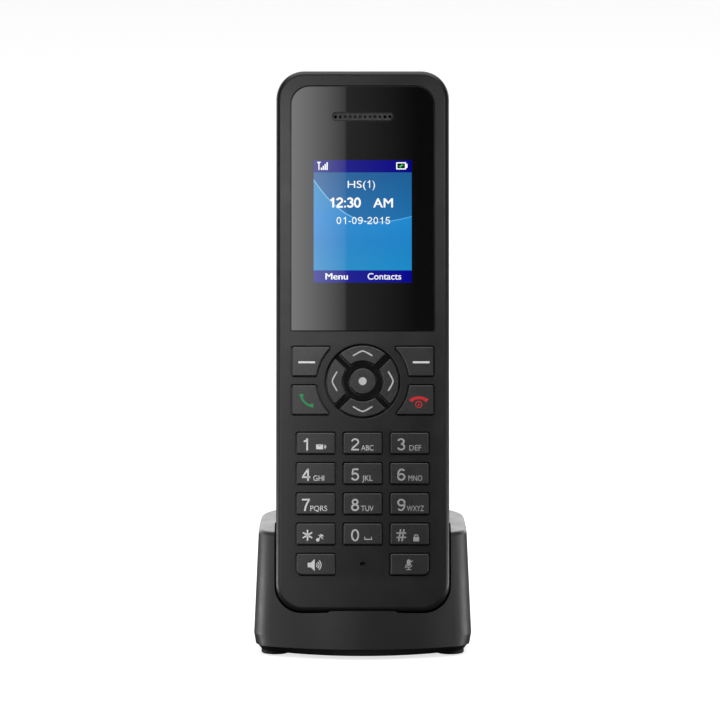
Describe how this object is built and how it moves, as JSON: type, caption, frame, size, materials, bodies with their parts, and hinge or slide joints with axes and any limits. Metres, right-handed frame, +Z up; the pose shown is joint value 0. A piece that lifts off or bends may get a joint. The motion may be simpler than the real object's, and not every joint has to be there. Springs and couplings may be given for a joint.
{
  "type": "cordless phone with base",
  "caption": "Slim cordless handset with colour display and keypad, leaning back in an open-fronted charging cradle with two side arms, sprung charge pins and an opening battery cover.",
  "frame": {"origin": "on the desk, under the middle of the cradle's footprint", "axes": "+Z up, -Y towards the user (the side with the display and the keys), +X to the user's right"},
  "size_m": [0.0658, 0.07, 0.1733],
  "materials": {
    "handset_plastic": "satin black moulded plastic, fine texture",
    "key_plastic": "satin dark grey keycaps with printed legends",
    "lens": "polished clear window, printed black behind",
    "display": "lit colour display",
    "mesh": "black painted perforated strip",
    "dark_metal": "dull metal capsule",
    "holder_plastic": "moulded plastic",
    "circuit_board": "green solder mask",
    "spring_steel": "plain steel",
    "silicone": "grey silicone",
    "contact_gold": "gold plated",
    "cell_wrap": "shrink sleeve",
    "cradle_plastic": "satin black moulded plastic, fine texture",
    "foot_rubber": "matte black rubber"
  },
  "bodies": {
    "cradle": {"cradle_housing": "cradle_plastic", "cradle_base_plate": "cradle_plastic", "cradle_screws": "spring_steel", "cradle_board": "circuit_board", "usb_inlet": "spring_steel", "charge_pin_block": "holder_plastic", "charge_spring_left": "spring_steel", "charge_spring_right": "spring_steel", "foot_front_left": "foot_rubber", "foot_front_right": "foot_rubber", "foot_rear_left": "foot_rubber", "foot_rear_right": "foot_rubber"},
    "handset": {"antenna": "contact_gold", "battery_cell_left": "cell_wrap", "battery_cell_right": "cell_wrap", "battery_plates": "spring_steel", "battery_springs": "spring_steel", "charge_contacts": "contact_gold", "display_holder": "holder_plastic", "display_lens": "lens", "display_panel": "display", "earpiece_mesh": "mesh", "earpiece_speaker": "dark_metal", "front_housing": "handset_plastic", "handset_screws": "spring_steel", "headset_jack": "holder_plastic", "key_domes": "spring_steel", "keypad_mat": "silicone", "loudspeaker": "dark_metal", "main_board": "circuit_board", "microphone": "dark_metal", "rear_housing": "handset_plastic", "rf_shield": "spring_steel"},
    "battery_cover": {"battery_cover": "handset_plastic"},
    "call_key": {"call_key": "key_plastic"},
    "charge_pin_left": {"charge_pin_left": "contact_gold"},
    "charge_pin_right": {"charge_pin_right": "contact_gold"},
    "end_key": {"end_key": "key_plastic"},
    "key_0": {"key_0": "key_plastic"},
    "key_1": {"key_1": "key_plastic"},
    "key_2": {"key_2": "key_plastic"},
    "key_3": {"key_3": "key_plastic"},
    "key_4": {"key_4": "key_plastic"},
    "key_5": {"key_5": "key_plastic"},
    "key_6": {"key_6": "key_plastic"},
    "key_7": {"key_7": "key_plastic"},
    "key_8": {"key_8": "key_plastic"},
    "key_9": {"key_9": "key_plastic"},
    "key_hash": {"key_hash": "key_plastic"},
    "key_star": {"key_star": "key_plastic"},
    "mute_key": {"mute_key": "key_plastic"},
    "nav_down": {"nav_down": "key_plastic"},
    "nav_left": {"nav_left": "key_plastic"},
    "nav_right": {"nav_right": "key_plastic"},
    "nav_select": {"nav_select": "key_plastic"},
    "nav_up": {"nav_up": "key_plastic"},
    "soft_key_left": {"soft_key_left": "key_plastic"},
    "soft_key_right": {"soft_key_right": "key_plastic"},
    "speaker_key": {"speaker_key": "key_plastic"}
  },
  "joints": [
    {"name": "handset_lift", "type": "slide", "parent": "cradle", "child": "handset", "axis": [0, 0.2588, 0.9659], "range_m": [0, 0.06]},
    {"name": "battery_cover_hinge", "type": "hinge", "parent": "handset", "child": "battery_cover", "pos_m": [0, -0.00105, 0.04025], "axis": [-1, 0, 0], "range_deg": [0, 35]},
    {"name": "soft_key_left_press", "type": "slide", "parent": "handset", "child": "soft_key_left", "axis": [0, 0.9659, -0.2588], "range_m": [0, 0.0004], "stiffness_N_per_m": 1200},
    {"name": "soft_key_right_press", "type": "slide", "parent": "handset", "child": "soft_key_right", "axis": [0, 0.9659, -0.2588], "range_m": [0, 0.0004], "stiffness_N_per_m": 1200},
    {"name": "call_key_press", "type": "slide", "parent": "handset", "child": "call_key", "axis": [0, 0.9659, -0.2588], "range_m": [0, 0.0004], "stiffness_N_per_m": 1200},
    {"name": "end_key_press", "type": "slide", "parent": "handset", "child": "end_key", "axis": [0, 0.9659, -0.2588], "range_m": [0, 0.0004], "stiffness_N_per_m": 1200},
    {"name": "nav_up_press", "type": "slide", "parent": "handset", "child": "nav_up", "axis": [0, 0.9659, -0.2588], "range_m": [0, 0.0004], "stiffness_N_per_m": 1200},
    {"name": "nav_down_press", "type": "slide", "parent": "handset", "child": "nav_down", "axis": [0, 0.9659, -0.2588], "range_m": [0, 0.0004], "stiffness_N_per_m": 1200},
    {"name": "nav_left_press", "type": "slide", "parent": "handset", "child": "nav_left", "axis": [0, 0.9659, -0.2588], "range_m": [0, 0.0004], "stiffness_N_per_m": 1200},
    {"name": "nav_right_press", "type": "slide", "parent": "handset", "child": "nav_right", "axis": [0, 0.9659, -0.2588], "range_m": [0, 0.0004], "stiffness_N_per_m": 1200},
    {"name": "nav_select_press", "type": "slide", "parent": "handset", "child": "nav_select", "axis": [0, 0.9659, -0.2588], "range_m": [0, 0.0004], "stiffness_N_per_m": 1200},
    {"name": "key_0_press", "type": "slide", "parent": "handset", "child": "key_0", "axis": [0, 0.9659, -0.2588], "range_m": [0, 0.0004], "stiffness_N_per_m": 1200},
    {"name": "key_1_press", "type": "slide", "parent": "handset", "child": "key_1", "axis": [0, 0.9659, -0.2588], "range_m": [0, 0.0004], "stiffness_N_per_m": 1200},
    {"name": "key_2_press", "type": "slide", "parent": "handset", "child": "key_2", "axis": [0, 0.9659, -0.2588], "range_m": [0, 0.0004], "stiffness_N_per_m": 1200},
    {"name": "key_3_press", "type": "slide", "parent": "handset", "child": "key_3", "axis": [0, 0.9659, -0.2588], "range_m": [0, 0.0004], "stiffness_N_per_m": 1200},
    {"name": "key_4_press", "type": "slide", "parent": "handset", "child": "key_4", "axis": [0, 0.9659, -0.2588], "range_m": [0, 0.0004], "stiffness_N_per_m": 1200},
    {"name": "key_5_press", "type": "slide", "parent": "handset", "child": "key_5", "axis": [0, 0.9659, -0.2588], "range_m": [0, 0.0004], "stiffness_N_per_m": 1200},
    {"name": "key_6_press", "type": "slide", "parent": "handset", "child": "key_6", "axis": [0, 0.9659, -0.2588], "range_m": [0, 0.0004], "stiffness_N_per_m": 1200},
    {"name": "key_7_press", "type": "slide", "parent": "handset", "child": "key_7", "axis": [0, 0.9659, -0.2588], "range_m": [0, 0.0004], "stiffness_N_per_m": 1200},
    {"name": "key_8_press", "type": "slide", "parent": "handset", "child": "key_8", "axis": [0, 0.9659, -0.2588], "range_m": [0, 0.0004], "stiffness_N_per_m": 1200},
    {"name": "key_9_press", "type": "slide", "parent": "handset", "child": "key_9", "axis": [0, 0.9659, -0.2588], "range_m": [0, 0.0004], "stiffness_N_per_m": 1200},
    {"name": "key_star_press", "type": "slide", "parent": "handset", "child": "key_star", "axis": [0, 0.9659, -0.2588], "range_m": [0, 0.0004], "stiffness_N_per_m": 1200},
    {"name": "key_hash_press", "type": "slide", "parent": "handset", "child": "key_hash", "axis": [0, 0.9659, -0.2588], "range_m": [0, 0.0004], "stiffness_N_per_m": 1200},
    {"name": "speaker_key_press", "type": "slide", "parent": "handset", "child": "speaker_key", "axis": [0, 0.9659, -0.2588], "range_m": [0, 0.0004], "stiffness_N_per_m": 1200},
    {"name": "mute_key_press", "type": "slide", "parent": "handset", "child": "mute_key", "axis": [0, 0.9659, -0.2588], "range_m": [0, 0.0004], "stiffness_N_per_m": 1200},
    {"name": "charge_pin_left_press", "type": "slide", "parent": "cradle", "child": "charge_pin_left", "axis": [0, -0.2588, -0.9659], "range_m": [0, 0.0006], "stiffness_N_per_m": 300, "deforming": ["charge_spring_left"]},
    {"name": "charge_pin_right_press", "type": "slide", "parent": "cradle", "child": "charge_pin_right", "axis": [0, -0.2588, -0.9659], "range_m": [0, 0.0006], "stiffness_N_per_m": 300, "deforming": ["charge_spring_right"]}
  ]
}
